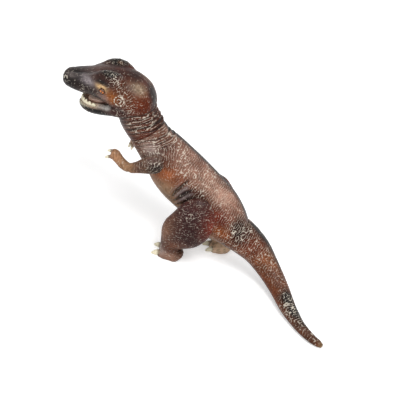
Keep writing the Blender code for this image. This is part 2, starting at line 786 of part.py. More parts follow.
# Path of each arm, from the shoulder seat to the palm: outward, forward and upward shares of the arm's
# reach, and half width and radius as shares of the arm's radius
LEFT_UPPER_ARM_SHARES = [
    (0.02, -0.14, 0.10, 0.60, 1.10),
    (0.06, -0.04, 0.04, 1.05, 2.10),
    (0.12, 0.14, -0.06, 1.20, 1.85),
    (0.14, 0.31, -0.17, 1.12, 1.28),
    (0.15, 0.46, -0.26, 1.05, 1.05),
]
LEFT_FOREARM_SHARES = [
    (0.15, 0.46, -0.26, 0.98, 0.98),
    (0.14, 0.60, -0.24, 1.05, 1.06),
    (0.12, 0.74, -0.17, 1.00, 1.04),
    (0.10, 0.84, -0.11, 1.10, 1.18),
    (0.09, 0.92, -0.10, 0.95, 1.05),
]
RIGHT_UPPER_ARM_SHARES = [
    (0.03, -0.08, 0.06, 0.75, 1.10),
    (0.07, 0.00, 0.03, 1.15, 2.20),
    (0.12, 0.12, -0.06, 1.25, 1.75),
    (0.13, 0.26, -0.13, 1.12, 1.25),
    (0.12, 0.38, -0.19, 1.00, 1.00),
]
RIGHT_FOREARM_SHARES = [
    (0.12, 0.38, -0.19, 0.95, 0.95),
    (0.06, 0.49, -0.16, 0.98, 0.98),
    (-0.01, 0.60, -0.15, 0.92, 0.95),
    (-0.05, 0.67, -0.19, 0.95, 1.02),
    (-0.06, 0.69, -0.27, 0.75, 0.80),
]

# Share of the way along a finger and the ring's size there as a share of the finger's radius
FINGER_RING_SHARES = ((0.0, 1.0), (0.5, 0.95), (0.85, 0.85), (1.0, 0.5))

# Fingers: name, root and tip as outward, forward and upward shares of the arm's reach
LEFT_FINGER_SHARES = [
    ("upper", (0.07, 0.83, -0.07), (0.05, 0.955, -0.085)),
    ("lower", (0.11, 0.82, -0.15), (0.12, 0.955, -0.195)),
]
RIGHT_FINGER_SHARES = [
    ("upper", (-0.07, 0.69, -0.23), (-0.09, 0.73, -0.35)),
    ("lower", (-0.03, 0.67, -0.26), (-0.04, 0.68, -0.42)),
]


def arm_point(side, shares):
    outward, forward, upward = shares
    return shoulder(side) + Vector((side * outward, -forward, upward)) * ARM_REACH


def make_finger(side, finger):
    root = arm_point(side, finger[1])
    way = arm_point(side, finger[2]) - root
    rows = []
    for share, size in FINGER_RING_SHARES:
        thick = FINGER_RADIUS * size
        rows.append([*(root + way * share), thick, thick, thick])
    return loft("finger", rows, 6, power=2.0, points=SMALL_RING_POINT_COUNT)


def make_finger_claw(side, finger, grow=0.0):
    tip = arm_point(side, finger[2])
    way = (tip - arm_point(side, finger[1])).normalized()
    hand = "left" if side > 0 else "right"
    root = tip - way * FINGER_CLAW_LENGTH * FINGER_CLAW_SUNK_SHARE
    return claw(f"{hand}_{finger[0]}_finger_claw", root, way, FINGER_CLAW_LENGTH, FINGER_CLAW_RADIUS,
                FINGER_CLAW_DROOP_SHARE, grow)


def limb(name, side, shares):
    rows = []
    for outward, forward, upward, wide, thick in shares:
        rows.append([*arm_point(side, (outward, forward, upward)), wide * ARM_RADIUS, thick * ARM_RADIUS,
                     thick * ARM_RADIUS])
    return loft(name, rows, 12, power=2.0, points=CAVITY_POINT_COUNT)


def make_arm(side):
    left = side > 0
    upper = LEFT_UPPER_ARM_SHARES if left else RIGHT_UPPER_ARM_SHARES
    fore = LEFT_FOREARM_SHARES if left else RIGHT_FOREARM_SHARES
    fingers = LEFT_FINGER_SHARES if left else RIGHT_FINGER_SHARES
    forms = [limb("upper_arm", side, upper), limb("forearm", side, fore)]
    forms += [make_finger(side, finger) for finger in fingers]
    arm = blend("left_arm" if left else "right_arm", forms, ARM_FACET_SHARE)
    outward = Vector((side, 0.0, 0.0))
    cut(arm, turning_room(shoulder(side) + outward * GAP, -outward, SHOULDER_ROOM_RADIUS))
    add(arm, plug("plug", shoulder(side), -outward, SHOULDER_PLUG_RADIUS))
    for finger in fingers:
        cut(arm, make_finger_claw(side, finger, GAP))
    return arm


# Assembly

def joint(name, point, axis, root):
    # Empty on a joint's axis, with its own Z along the axis
    empty = bpy.data.objects.new(name, None)
    bpy.context.scene.collection.objects.link(empty)
    turn = Vector(axis).to_track_quat("Z", "Y").to_matrix().to_4x4()
    empty.matrix_world = Matrix.Translation(Vector(point)) @ turn
    empty.parent = root
    return empty


def hang(pieces, parent, material):
    # Puts each piece's origin on its parent's and keeps the piece where it was modelled
    bpy.context.view_layer.update()
    for piece in pieces:
        piece.data.transform(parent.matrix_world.inverted())
        piece.parent = parent
        piece.data.materials.clear()
        piece.data.materials.append(material)
        piece.data.shade_smooth()
        piece.data.set_sharp_from_angle(angle=math.radians(40.0))


def centre_figure(root):
    # Moves the root so that the origin is the bottom centre of the whole figure's box
    bpy.context.view_layer.update()
    meshes = [obj for obj in bpy.data.objects if obj.type == "MESH"]
    corners = np.array([obj.matrix_world @ v.co for obj in meshes for v in obj.data.vertices])
    low = corners.min(axis=0)
    high = corners.max(axis=0)
    root.location = (-(low[0] + high[0]) / 2, -(low[1] + high[1]) / 2, -low[2])


def build():
    clear_scene()
    skin = vinyl("painted_soft_vinyl", (0.19, 0.06, 0.035), 0.42)
    horn = vinyl("cream_claw_vinyl", (0.78, 0.70, 0.42), 0.45)
    eye = vinyl("glossy_orange_eye", (0.75, 0.25, 0.04), 0.15)
    flesh = vinyl("pink_tongue_vinyl", (0.62, 0.28, 0.22), 0.4)
    root = bpy.data.objects.new("figure", None)
    bpy.context.scene.collection.objects.link(root)
    neck = joint("neck_swivel", neck_seam(), neck_way(), root)
    tail = joint("tail_swivel", tail_seam(), tail_way(), root)
    hang([make_torso()], root, skin)
    hang([make_head()], neck, skin)
    hang([make_eye(1), make_eye(-1)], neck, eye)
    hang([make_tongue()], neck, flesh)
    hang([make_teeth()], neck, horn)
    hang([make_tail()], tail, skin)
    sides = ((1, LEFT_STRIDE, LEFT_FINGER_SHARES), (-1, RIGHT_STRIDE, RIGHT_FINGER_SHARES))
    for side, stride, fingers in sides:
        hand = "left" if side > 0 else "right"
        swing = joint(f"{hand}_hip_swivel", hip(side), (1.0, 0.0, 0.0), root)
        hang([make_leg(side, stride)], swing, skin)
        hang([standing_claw(side, stride, toe) for toe in TOE_SHARES], swing, horn)
        reach = joint(f"{hand}_shoulder_swivel", shoulder(side), (1.0, 0.0, 0.0), root)
        hang([make_arm(side)], reach, skin)
        hang([make_finger_claw(side, finger) for finger in fingers], reach, horn)
    centre_figure(root)


build()
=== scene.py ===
# Looks of a toy dinosaur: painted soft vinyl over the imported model.
# Places are in millimetres from home, which lies on the floor, in the body's middle plane, 8 mm behind the
# hips.
import json
import math

import bmesh
import bpy
import numpy as np
from mathutils import Matrix, Vector


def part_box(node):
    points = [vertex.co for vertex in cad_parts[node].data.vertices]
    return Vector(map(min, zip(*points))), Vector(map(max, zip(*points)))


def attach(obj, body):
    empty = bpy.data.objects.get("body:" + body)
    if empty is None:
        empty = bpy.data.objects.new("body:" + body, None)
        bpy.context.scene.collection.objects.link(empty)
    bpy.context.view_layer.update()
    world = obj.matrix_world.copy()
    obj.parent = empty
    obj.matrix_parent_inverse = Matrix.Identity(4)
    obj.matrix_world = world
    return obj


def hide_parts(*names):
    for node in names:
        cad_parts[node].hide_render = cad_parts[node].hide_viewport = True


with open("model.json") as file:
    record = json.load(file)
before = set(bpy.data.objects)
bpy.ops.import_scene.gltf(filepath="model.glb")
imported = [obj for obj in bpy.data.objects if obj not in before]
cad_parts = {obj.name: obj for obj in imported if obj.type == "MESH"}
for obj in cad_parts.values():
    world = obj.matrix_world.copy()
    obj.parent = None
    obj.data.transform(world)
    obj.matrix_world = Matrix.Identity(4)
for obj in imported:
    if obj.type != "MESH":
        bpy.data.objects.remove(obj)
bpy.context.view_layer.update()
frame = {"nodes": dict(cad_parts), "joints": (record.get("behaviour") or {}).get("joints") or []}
print("frame loaded:", len(frame["nodes"]), "nodes")

mm = 0.001
joints = {joint["name"]: joint for joint in frame["joints"]}
neckFromHome = np.array([0.0, -90.0, 126.0])
home = np.array(joints["neck_swivel"]["pos_m"]) - neckFromHome * mm


# small helpers

def toLinear(hexColour):
    # sRGB hex to linear red, green, blue
    parts = np.array([int(hexColour[i:i + 2], 16) for i in (0, 2, 4)]) / 255.0
    return np.where(parts <= 0.04045, parts / 12.92, ((parts + 0.055) / 1.055) ** 2.4)


def smoothStep(low, high, value):
    t = np.clip((value - low) / (high - low), 0.0, 1.0)
    return t * t * (3.0 - 2.0 * t)


def linkIn(piece):
    bpy.context.scene.collection.objects.link(piece)
    return piece


def readPoints(mesh):
    points = np.empty(len(mesh.vertices) * 3)
    mesh.vertices.foreach_get("co", points)
    return points.reshape(-1, 3)


def readNormals(mesh):
    normals = np.empty(len(mesh.vertices) * 3)
    mesh.vertices.foreach_get("normal", normals)
    return normals.reshape(-1, 3)


def writePoints(mesh, points):
    mesh.vertices.foreach_set("co", points.ravel())
    mesh.update()


def storeAttribute(mesh, name, values):
    # One number or one colour for every vertex
    if values.ndim == 1:
        mesh.attributes.new(name, "FLOAT", "POINT").data.foreach_set("value", values.astype(np.float32))
        return
    colours = np.ones((len(values), 4), dtype=np.float32)
    colours[:, :3] = values
    mesh.attributes.new(name, "FLOAT_COLOR", "POINT").data.foreach_set("color", colours.ravel())


# vinyl materials

def addNode(owner, kind, settings=None, **links):
    # One shader node of a material or the world: settings are its properties or socket values, links are the
    # sockets that feed it
    node = owner.node_tree.nodes.new(kind)
    for name, value in (settings or {}).items():
        if isinstance(name, str) and hasattr(node, name):
            setattr(node, name, value)
        else:
            node.inputs[name].default_value = value
    for name, socket in links.items():
        key = int(name[1:]) if name[0] == "s" and name[1:].isdigit() else name.replace("_", " ")
        owner.node_tree.links.new(socket, node.inputs[key])
    return node


def newMaterial(name):
    material = bpy.data.materials.new(name)
    material.use_nodes = True
    return material, material.node_tree.nodes["Principled BSDF"]


skinPaint = {
    "creamHex": "d9cfbf",
    "creamCover": (0.34, 0.92),    # least and most, while the brush goes from one coverBrush to the other
    "coverBrush": (0.1, 0.9),
    "washHex": "140b0a",
    "washCover": 0.36,
    "washField": (0.6, 1.7),       # wrinkle field where the dark wash starts, and where it is full
    "strokeWidth": 0.34,           # wrinkle field up to which cream can reach; the field's spread is 1
    "strokeEdge": (-0.08, 0.18),   # how softly a stroke ends, in the same field
    "brushLoad": 0.60,             # how much more brush widens a stroke
    "dryPatch": 2.4,               # mm, how far a dry brush stroke runs before it breaks off
    "patchGain": (5.4, -2.85),     # how sharply it breaks off, and how often
    "bristle": 0.9,                # mm, the ragged edge that bristles leave
    "bristleGain": (0.9, -0.45),
    "speck": 0.9,                  # mm, spatter of cream on the dark parts
    "speckNoise": (0.62, 0.70),    # noise over which a speck fades in
    "speckBrush": (-0.1, 0.5),     # brush over which the spatter grows to its full cover
    "speckCover": 0.45,
    "blotch": 14.0,                # mm, size of the cloudy uneven spray
    "blotchNoise": (0.3, 0.7),
    "blotchLevels": (0.72, 1.25),  # darkest and lightest, as shares of the colour
    "grain": 0.7,                  # mm, pores of the casting, drawn as coarse as they need to show
    "grainDepth": 0.05,            # mm
    "grainStrength": 0.6,
    "roughness": 0.38,
    "gloss": 0.14,                 # specular level: the paint's matt binder takes much of the gloss away
    "ior": 1.50,
    "sheen": 0.019,                # linear white that the satin surface adds to every colour
    "leastLeft": 0.12,             # share of a dark colour that stays when the sheen is taken off
}


def sprayColour(hexColour):
    # A colour as it is seen on the toy, less the white that its satin surface reflects
    seen = toLinear(hexColour)
    return np.maximum(seen - skinPaint["sheen"], skinPaint["leastLeft"] * seen)


def sprayedVinyl(name):
    # Soft PVC, cast in a mould with wrinkles: sprayed colours, a dark wash left between the wrinkles and
    # cream brushed dry along them. Satin, so highlights are broad and soft.
    material, shader = newMaterial(name)
    where = addNode(material, "ShaderNodeTexCoord").outputs["Object"]
    paint = addNode(material, "ShaderNodeAttribute", {"attribute_name": "paint"}).outputs["Color"]
    ridge = addNode(material, "ShaderNodeAttribute", {"attribute_name": "ridge"}).outputs["Fac"]
    brush = addNode(material, "ShaderNodeAttribute", {"attribute_name": "brush"}).outputs["Fac"]
    groove = addNode(material, "ShaderNodeAttribute", {"attribute_name": "groove"}).outputs["Fac"]

    def noise(size, detail):
        return addNode(material, "ShaderNodeTexNoise", {"Scale": 1.0 / (size * mm), "Detail": detail},
                       Vector=where).outputs["Fac"]

    def ramp(value, low, high, bottom, top):
        limits = {"From Min": low, "From Max": high, "To Min": bottom, "To Max": top}
        return addNode(material, "ShaderNodeMapRange", limits, Value=value).outputs[0]

    def reckon(operation, *terms):
        settings = {"operation": operation}
        links = {}
        for place, term in enumerate(terms):
            if isinstance(term, (int, float)):
                settings[place] = term
            else:
                links["s%d" % place] = term
        return addNode(material, "ShaderNodeMath", settings, **links).outputs[0]

    def blendTo(share, base, hexColour):
        return addNode(material, "ShaderNodeMix", {"data_type": "RGBA", 7: (*sprayColour(hexColour), 1.0)},
                       s0=share, s6=base).outputs[2]

    # Cream sits along each wrinkle, where the field is near 0. More brush gives a wider line, and noise of
    # the size of a patch and of a bristle breaks it off.
    away = reckon("ABSOLUTE", ridge)
    patchy = reckon("MULTIPLY_ADD", noise(skinPaint["dryPatch"], 2.0), *skinPaint["patchGain"])
    ragged = reckon("MULTIPLY_ADD", noise(skinPaint["bristle"], 1.0), *skinPaint["bristleGain"])
    laid = reckon("ADD", reckon("MULTIPLY_ADD", brush, skinPaint["brushLoad"], patchy), ragged)
    width = reckon("MINIMUM", laid, skinPaint["strokeWidth"])
    edge = ramp(reckon("SUBTRACT", width, away), *skinPaint["strokeEdge"], 0.0, 1.0)
    stroke = reckon("MULTIPLY", edge, ramp(brush, *skinPaint["coverBrush"], *skinPaint["creamCover"]))
    wetness = ramp(brush, *skinPaint["speckBrush"], 0.0, skinPaint["speckCover"])
    specks = ramp(noise(skinPaint["speck"], 1.0), *skinPaint["speckNoise"], 0.0, 1.0)
    cream = reckon("MAXIMUM", stroke, reckon("MULTIPLY", specks, wetness))
    washed = reckon("MAXIMUM", ramp(away, *skinPaint["washField"], 0.0, skinPaint["washCover"]), groove)
    cloud = ramp(noise(skinPaint["blotch"], 3.0), *skinPaint["blotchNoise"], *skinPaint["blotchLevels"])
    uneven = addNode(material, "ShaderNodeVectorMath", {"operation": "SCALE"},
                     s0=paint, Scale=cloud).outputs[0]
    painted = blendTo(cream, blendTo(washed, uneven, skinPaint["washHex"]), skinPaint["creamHex"])
    bump = addNode(material, "ShaderNodeBump",
                   {"Strength": skinPaint["grainStrength"], "Distance": skinPaint["grainDepth"] * mm},
                   Height=noise(skinPaint["grain"], 3.0)).outputs[0]
    material.node_tree.links.new(painted, shader.inputs["Base Color"])
    material.node_tree.links.new(bump, shader.inputs["Normal"])
    shader.inputs["Roughness"].default_value = skinPaint["roughness"]
    shader.inputs["Specular IOR Level"].default_value = skinPaint["gloss"]
    shader.inputs["IOR"].default_value = skinPaint["ior"]
    return material


# skins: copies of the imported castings, remeshed fine enough to carry folds and wrinkles

def skinCopy(node, name, voxel, softenPasses):
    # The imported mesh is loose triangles, so its doubles are merged before the remesh
    mesh = frame["nodes"][node].data.copy()
    mesh.materials.clear()
    shell = bmesh.new()
    shell.from_mesh(mesh)
    bmesh.ops.remove_doubles(shell, verts=shell.verts[:], dist=0.00001)
    shell.to_mesh(mesh)
    shell.free()
    piece = linkIn(bpy.data.objects.new(name, mesh))
    remesh = piece.modifiers.new("voxels", "REMESH")
    remesh.mode = "VOXEL"
    remesh.voxel_size = voxel * mm
    soften = piece.modifiers.new("soften", "SMOOTH")
    soften.factor = 0.5
    soften.iterations = softenPasses
    graph = bpy.context.evaluated_depsgraph_get()
    graph.update()
    fine = bpy.data.meshes.new_from_object(piece.evaluated_get(graph))
    piece.modifiers.clear()
    piece.data = fine
    fine.name = name
    fine.shade_smooth()
    return piece


def mirrored(points):
    # The right side is looked up on the left one
    left = points.copy()
    left[:, 0] = np.abs(left[:, 0])
    return left


def nearestOnPath(points, path):
    # For every point: distance to the line through the path's points, and the share of the path's length
    # at which its nearest place lies
    path = np.array(path, dtype=float)
    start = path[:-1]
    step = path[1:] - start
    lengths = np.linalg.norm(step, axis=1)
    reached = np.concatenate([[0.0], np.cumsum(lengths)])
    best = np.full(len(points), 1e9)
    share = np.zeros(len(points))
    for a, d, length, before in zip(start, step, lengths, reached):
        t = np.clip((points - a) @ d / length ** 2, 0.0, 1.0)
        away = np.linalg.norm(points - (a + t[:, None] * d), axis=1)
        nearer = away < best
        best = np.where(nearer, away, best)
        share = np.where(nearer, (before + t * length) / reached[-1], share)
    return best, share


spine = [(0, -105, 155), (0, -90, 126), (0, -69, 114), (0, -47, 103), (0, -26, 90), (0, -6, 76), (0, 16, 60),
         (0, 36, 47), (1, 50, 42), (2.4, 68, 35), (7, 82, 26), (15, 95, 19.5), (25, 106.5, 14.5),
         (38.5, 117, 11), (46, 123, 9.6), (56, 132, 7.6), (65, 142, 6.2), (72.4, 155, 5), (76, 169, 3)]


def roundTheSpine(points):
    # How far up a point lies on the body's round section: 1 on the back, 0 on the flank, -1 on the belly
    path = np.array(spine, dtype=float)
    best = np.full(len(points), 1e9)
    up = np.zeros(len(points))
    for a, b in zip(path[:-1], path[1:]):
        d = b - a
        along = d / np.linalg.norm(d)
        side = np.cross(along, (0.0, 0.0, 1.0))
        side /= np.linalg.norm(side)
        rise = np.cross(side, along)
        t = np.clip((points - a) @ d / (d @ d), 0.0, 1.0)
        away = points - (a + t[:, None] * d)
        far = np.linalg.norm(away, axis=1)
        nearer = far < best
        best = np.where(nearer, far, best)
        up = np.where(nearer, away @ rise / np.maximum(far, 1e-6), up)
    return up


wrinkles = {
    # zone: from one wrinkle to the next in mm, direction that they lie across, and how far they stray from
    # it in degrees
    "torso": (2.3, (0.0, 0.97, -0.20), 36.0),
    "shoulder": (2.5, (0.0, 0.94, 0.34), 30.0),
    "neck": (2.4, (0.0, -0.55, 0.87), 15.0),
    "head": (2.1, (0.3, -0.6, 0.7), 90.0),
    "tail": (2.4, (0.0, 0.97, -0.20), 42.0),
    "tailEnd": (3.0, (0.68, 0.72, -0.15), 30.0),
    "leg": (2.2, (0.0, 0.35, -0.94), 36.0),
    "arm": (2.7, (0.0, 0.9, 0.3), 60.0),
}
wrinkleRelief = {
    "height": 0.30,            # mm
    "sharpness": 0.55,         # wrinkle field at which a wrinkle has fallen to about a third
    "level": 0.4,              # how far the skin between sinks, as a share of the height
    "bare": 0.35,              # share of the height where the brush is 0
}
waveCount = 56


def wrinkleField(points, zone, seed):
    # Wrinkled skin as a sum of plane waves of nearly one wavelength, whose directions scatter round the way
    # that the wrinkles lie across. Its spread is 1, and a wrinkle runs where it is 0, twice in each
    # wavelength.
    spacing, across, stray = wrinkles[zone]
    draw = np.random.default_rng(seed)
    across = np.array(across) / np.linalg.norm(across)
    scatter = draw.normal(size=(waveCount, 3))
    scatter -= (scatter @ across)[:, None] * across
    scatter /= np.linalg.norm(scatter, axis=1)[:, None]
    lean = np.radians(draw.normal(0.0, stray, waveCount))[:, None]
    ways = across * np.cos(lean) + scatter * np.sin(lean)
    rates = np.pi / (spacing * draw.normal(1.0, 0.12, waveCount))
    phases = draw.uniform(0.0, 2.0 * np.pi, waveCount)
    field = np.zeros(len(points))
    for way, rate, phase in zip(ways, rates, phases):
        field += np.cos(points @ (way * rate) + phase)
    return field * math.sqrt(2.0 / waveCount)


def crossFade(first, second, share):
    # From one field to another, with the spread kept at 1
    return (first * (1.0 - share) + second * share) / np.hypot(share, 1.0 - share)


# the soft lip beside a fold: its height, place and width as shares of the fold's depth and width
foldLip = {"height": 0.6, "place": 1.8, "width": 0.8}


def foldDepth(distance, depth, width):
    # A groove with a soft lip on each side: minus depth times a bell curve, plus a smaller one beside it
    groove = -depth * np.exp(-(distance / width) ** 2)
    beside = (distance - foldLip["place"] * width) / (foldLip["width"] * width)
    return groove + foldLip["height"] * depth * np.exp(-beside ** 2)


# folds: each is a path over the left side, with its depth and width in mm, mirrored on the right. A negative
# depth raises a ridge.
folds = {
    "torso": [
        ([(22.5, -40.5, 70.5), (24.5, -38.5, 83), (24.2, -33.5, 94), (21.0, -29.0, 102)], 1.5, 1.9),
        ([(21.0, -38.0, 66.0), (23.6, -34.0, 76), (23.8, -28.0, 86), (22.0, -22.0, 93)], 1.9, 2.0),
        ([(20.5, -34.5, 62.0), (23.2, -29.0, 71), (23.4, -22.5, 80), (22.6, -16.0, 86)], 1.6, 1.8),
        ([(14.0, -74.5, 131.5), (18.5, -67.0, 124.0), (24.6, -66.5, 112.0)], 0.55, 1.2),
        ([(12.5, -70.5, 132.5), (17.2, -62.8, 124.5), (24.2, -61.5, 111.0)], 0.65, 1.2),
        ([(11.5, -66.0, 131.5), (16.4, -58.6, 124.5), (23.4, -57.0, 110.0)], 0.5, 1.2),
    ],
    "tail": [],
    "leg": [
        ([(29.0, -36.0, 69.0), (34.0, -29.0, 79.5), (35.0, -15.0, 87.0)], 0.7, 1.5),
        ([(33.0, -27.0, 18.0), (38.5, -20.0, 20.0), (37.0, -12.0, 19.5)], 0.5, 1.4),
        ([(32.0, -31.0, 14.0), (37.0, -24.0, 15.0), (37.5, -15.0, 14.0)], 0.4, 1.2),
    ],
    "arm": [
        ([(33.5, -88.0, 103.5), (37.2, -91.5, 99.0), (36.0, -94.5, 93.5)], 0.5, 1.1),
        ([(31.0, -113.5, 106.0), (33.5, -113.0, 100.5), (33.0, -112.5, 96.0)], 0.45, 0.9),
    ],
    "head": [
        ([(9.5, -186.0, 157), (9.7, -180.0, 161.2), (11.3, -169.0, 167.0), (17.0, -160.0, 171.0)], -0.9, 2.0),
        ([(17.5, -155.5, 172.0), (20.5, -150.0, 176.5), (21.0, -143.0, 178.5)], 0.6, 1.5),
        ([(18.0, -153.5, 160.0), (21.8, -148.5, 157.6), (24.0, -142.0, 157.8), (25.0, -136.5, 160.5)],
         0.7, 1.2),
        ([(19.2, -151.5, 166.5), (22.6, -147.0, 168.4), (24.4, -140.5, 167.4)], 0.8, 1.1),
        ([(19.0, -136.5, 141.5), (22.5, -128.5, 145.5), (24.6, -120.5, 148.0)], 0.7, 1.5),
        ([(23.8, -127.5, 174.0), (25.5, -131.0, 168.0), (25.6, -131.5, 162.0)], -0.6, 1.1),
    ],
}

# rings round the neck: distance along its axis in front of the seam, depth and width in mm
neckRings = [(26.5, 0.9, 1.5), (21.8, 0.8, 1.4), (17.2, 0.9, 1.4), (12.0, 1.3, 1.7), (6.6, 0.9, 1.4),
             (2.6, 0.5, 1.1), (-4.0, 0.8, 1.4), (-8.5, 0.7, 1.4), (-13.0, 0.4, 1.4)]
neckLean = 0.26    # the rings lie further forward at the throat, by this share of the way down to it
# where the rings fade out: at the skull and the back in mm along the neck, near its axis in mm, and at the
# throat in radians from the nape
neckFades = {"skull": (32.0, 27.0), "back": (-19.0, -11.0), "axis": (15.0, 18.0), "throat": (2.6, 1.9)}


def foldedBy(points, paths):
    left = mirrored(points)
    push = np.zeros(len(points))
    for path, depth, width in paths:
        distance, share = nearestOnPath(left, path)
        ends = np.sin(np.pi * np.clip(share, 0.02, 0.98)) ** 0.5
        push += foldDepth(distance, depth, width) * ends
    return push


def roundTheNeck(points):
    # Distance along the neck in front of its seam, leaning and waving with the rings, distance from its
    # axis, and the turn round it from the nape
    axis = np.array([0.0, -0.7314, 0.6820])
    nape = np.array([0.0, 0.6820, 0.7314])
    away = points - neckFromHome
    radial = np.linalg.norm(away - np.outer(away @ axis, axis), axis=1)
    turn = np.arctan2(away[:, 0], away @ nape)
    along = away @ axis + neckLean * (away @ nape)
    return along + 0.7 * np.sin(3.0 * turn) + 0.4 * np.sin(7.0 * turn + 1.0), radial, turn


def ringedNeck(points):
    along, radial, turn = roundTheNeck(points)
    push = np.zeros(len(points))
    for place, depth, width in neckRings:
        push += foldDepth(np.abs(along - place), depth, width)
    # Only the neck itself: nothing on the skull, far back on the body or on the smooth throat
    push *= smoothStep(*neckFades["skull"], along) * smoothStep(*neckFades["back"], along)
    return push * smoothStep(*neckFades["axis"], radial) * smoothStep(*neckFades["throat"], np.abs(turn))


# rings: radius, width and rise in mm; scales round the ring; the side on which its cream leaves a gap; share
# of cream
ear = {"centre": (25.4, -124.3, 160.7), "rings": ((2.1, 0.7, 0.4), (5.0, 0.9, 0.7)), "scales": 11,
       "open": (0.0, 0.0, 0.0), "cream": 1.2}
nostril = {"centre": (10.2, -186.6, 154.0), "rings": ((2.5, 0.8, 0.5),), "scales": 0,
           "open": (0.0, 0.7, -0.7), "cream": 0.6}
dimple = {"depth": 0.8, "width": 1.1}    # mm, in the middle of the rings


def ringsAt(points, spot):
    # Raised rings: bell curves of the distance from circles round the spot, notched into scales by a cosine
    # of the turn round it. Returns the push, with a dimple in the middle, and how much cream each point
    # takes.
    away = mirrored(points) - np.array(spot["centre"])
    distance = np.linalg.norm(away, axis=1)
    turn = np.arctan2(away[:, 2], away[:, 1])
    push = -dimple["depth"] * np.exp(-(distance / dimple["width"]) ** 2)
    onRing = np.zeros(len(points))
    for radius, width, rise in spot["rings"]:
        bell = np.exp(-((distance - radius) / width) ** 2)
        push += rise * bell
        onRing = np.maximum(onRing, bell)
    notch = 1.0 - 0.6 * np.cos(0.5 * spot["scales"] * turn) ** 8 if spot["scales"] else 1.0
    shut = smoothStep(0.9, 0.4, away @ np.array(spot["open"]) / np.maximum(distance, 0.1))
    return push * notch, onRing * notch * shut * spot["cream"]


# spray: colour as seen, centre, size in x, y and z, and strength of each pass of the airbrush, one over
# another
sprays = {
    "torso": [
        # these three passes are partly the back's pink paint and partly a painted highlight: the broad sheen
        # down the middle of the back, brightest on the hip
        ("8f6a5c", (14, -38, 117), (12, 30, 13), 0.85),
        ("a17c6c", (14, -6, 101), (11, 20, 10), 0.85),
        ("ba9280", (16, 14, 91), (10, 12, 7), 0.92),
        ("442b25", (23, -62, 130), (12, 12, 11), 0.88),
        ("6b493c", (16, -80, 138), (14, 12, 10), 0.70),
        ("7a584c", (18, -88, 122), (14, 10, 12), 0.80),
        ("99857e", (26, -78, 119), (10, 9, 8), 0.92),
        ("32211f", (26, -66, 108), (11, 12, 9), 0.85),
        ("8f5438", (22, -55, 99), (10, 11, 9), 0.95),
        ("8f7159", (18, -50, 78), (14, 14, 12), 0.95),
        ("86684c", (8, -40, 66), (16, 22, 8), 0.80),
        ("3c2829", (25, -27, 82), (9, 10, 11), 0.94),
        ("3f2a2b", (27, -12, 88), (8, 12, 7), 0.70),
        ("74321d", (27, 15, 69), (12, 14, 13), 0.94),
        ("93522f", (25, 24, 52), (11, 11, 8), 0.92),
        ("331c14", (15, 40, 61), (13, 10, 13), 0.90),
    ],
    "tail": [
        ("331c14", (13, 46, 57), (14, 12, 14), 0.90),
        # painted highlight along the ridge of the back at the tail's root
        ("a88a76", (3, 50, 68), (6, 10, 4), 0.50),
        ("6f3c2f", (14, 62, 44), (12, 14, 12), 0.70),
        ("86573f", (12, 82, 36), (10, 20, 8), 0.60),
        ("160e0c", (42, 117, 21), (11, 11, 8), 0.96),
        ("160e0c", (52, 130, 15), (11, 12, 8), 0.96),
        ("21150f", (60, 143, 9), (11, 11, 7), 0.85),
        ("4a3223", (70, 155, 5), (10, 11, 7), 0.92),
        ("8a6d50", (76, 168, 5), (6, 4, 6), 0.90),
    ],
    "leg": [
        ("3f2a2b", (36, -14, 70), (12, 18, 12), 0.92),
        ("3a2527", (38, -8, 52), (12, 15, 12), 0.92),
        ("81604f", (36, -34, 42), (9, 10, 18), 0.88),
        ("6b4a42", (30, -36, 62), (10, 6, 14), 0.70),
        ("3c2a29", (38, -4, 40), (12, 12, 7), 0.88),
        ("74321d", (32, 16, 66), (12, 13, 18), 0.95),
        ("66402f", (36, -16, 24), (12, 12, 9), 0.88),
        ("8a6a5a", (34, -20, 5), (16, 18, 7), 0.88),
        ("9a8a83", (33, -35, 9), (9, 9, 5), 0.85),
    ],
    "arm": [
        ("6b5550", (31, -70, 112), (9, 12, 8), 0.92),
        ("2c1c1a", (31, -66, 105), (10, 11, 8), 0.88),
        ("5f4740", (35, -84, 103), (9, 8, 8), 0.85),
        ("97755a", (36, -97, 98), (8, 8, 8), 0.90),
        ("ab8163", (31, -112, 102), (9, 9, 9), 0.95),
    ],
    "head": [
        ("7a584c", (18, -104, 132), (14, 9, 10), 0.80),
        ("85746f", (10, -115, 130), (11, 8, 8), 0.92),
        ("5a3328", (22, -92, 146), (14, 12, 10), 0.80),
        ("64341c", (21, -99, 168), (14, 14, 13), 0.92),
        # painted highlight on the dome of the skull
        ("a58f78", (17, -109, 178), (8, 10, 5.5), 0.90),
        ("241713", (4, -116, 187), (11, 20, 6), 0.96),
        ("24140f", (2, -96, 169), (7, 9, 13), 0.90),
        ("5e3d30", (24, -122, 166), (9, 12, 14), 0.80),
        ("8a5533", (23, -134, 159), (8, 7, 8), 0.95),
        ("3a2723", (22, -124, 147), (9, 12, 7), 0.85),
        ("241d1b", (10, -176, 156), (20, 22, 16), 0.97),
        ("332a28", (14, -158, 154), (12, 14, 10), 0.92),
        # painted reflection: the purple-grey sheen along the snout
        ("9a9092", (15, -163, 165), (6, 10, 4.5), 0.88),
        ("6f6664", (9, -181, 160), (3, 9, 3), 0.75),
        ("6f6664", (12, -163, 170), (3.5, 10, 3), 0.75),
        ("3d3230", (16, -158, 149), (8, 14, 4), 0.80),
        ("1d1411", (15, -143, 184), (13, 14, 9), 0.97),
        ("b98058", (10, -140, 186), (2.5, 3, 2.5), 0.80),
        ("20120f", (20, -146.5, 172.5), (6, 6.5, 4), 0.98),
        ("e4bd8c", (21, -146.3, 166.0), (5.5, 5.5, 2.9), 0.98),
        ("8d746b", (22, -142, 157), (5, 6, 2.8), 0.80),
        ("1d1514", (14, -146, 134), (15, 28, 7), 0.98),
    ],
}

# a pass on one side only, in the same way: the right foot's own tan made much lighter, as painted light
# against the shade under the body
loneSprays = {"leg": [("dcbb9c", (-14, -18, 8), (14, 28, 13), 0.96)]}
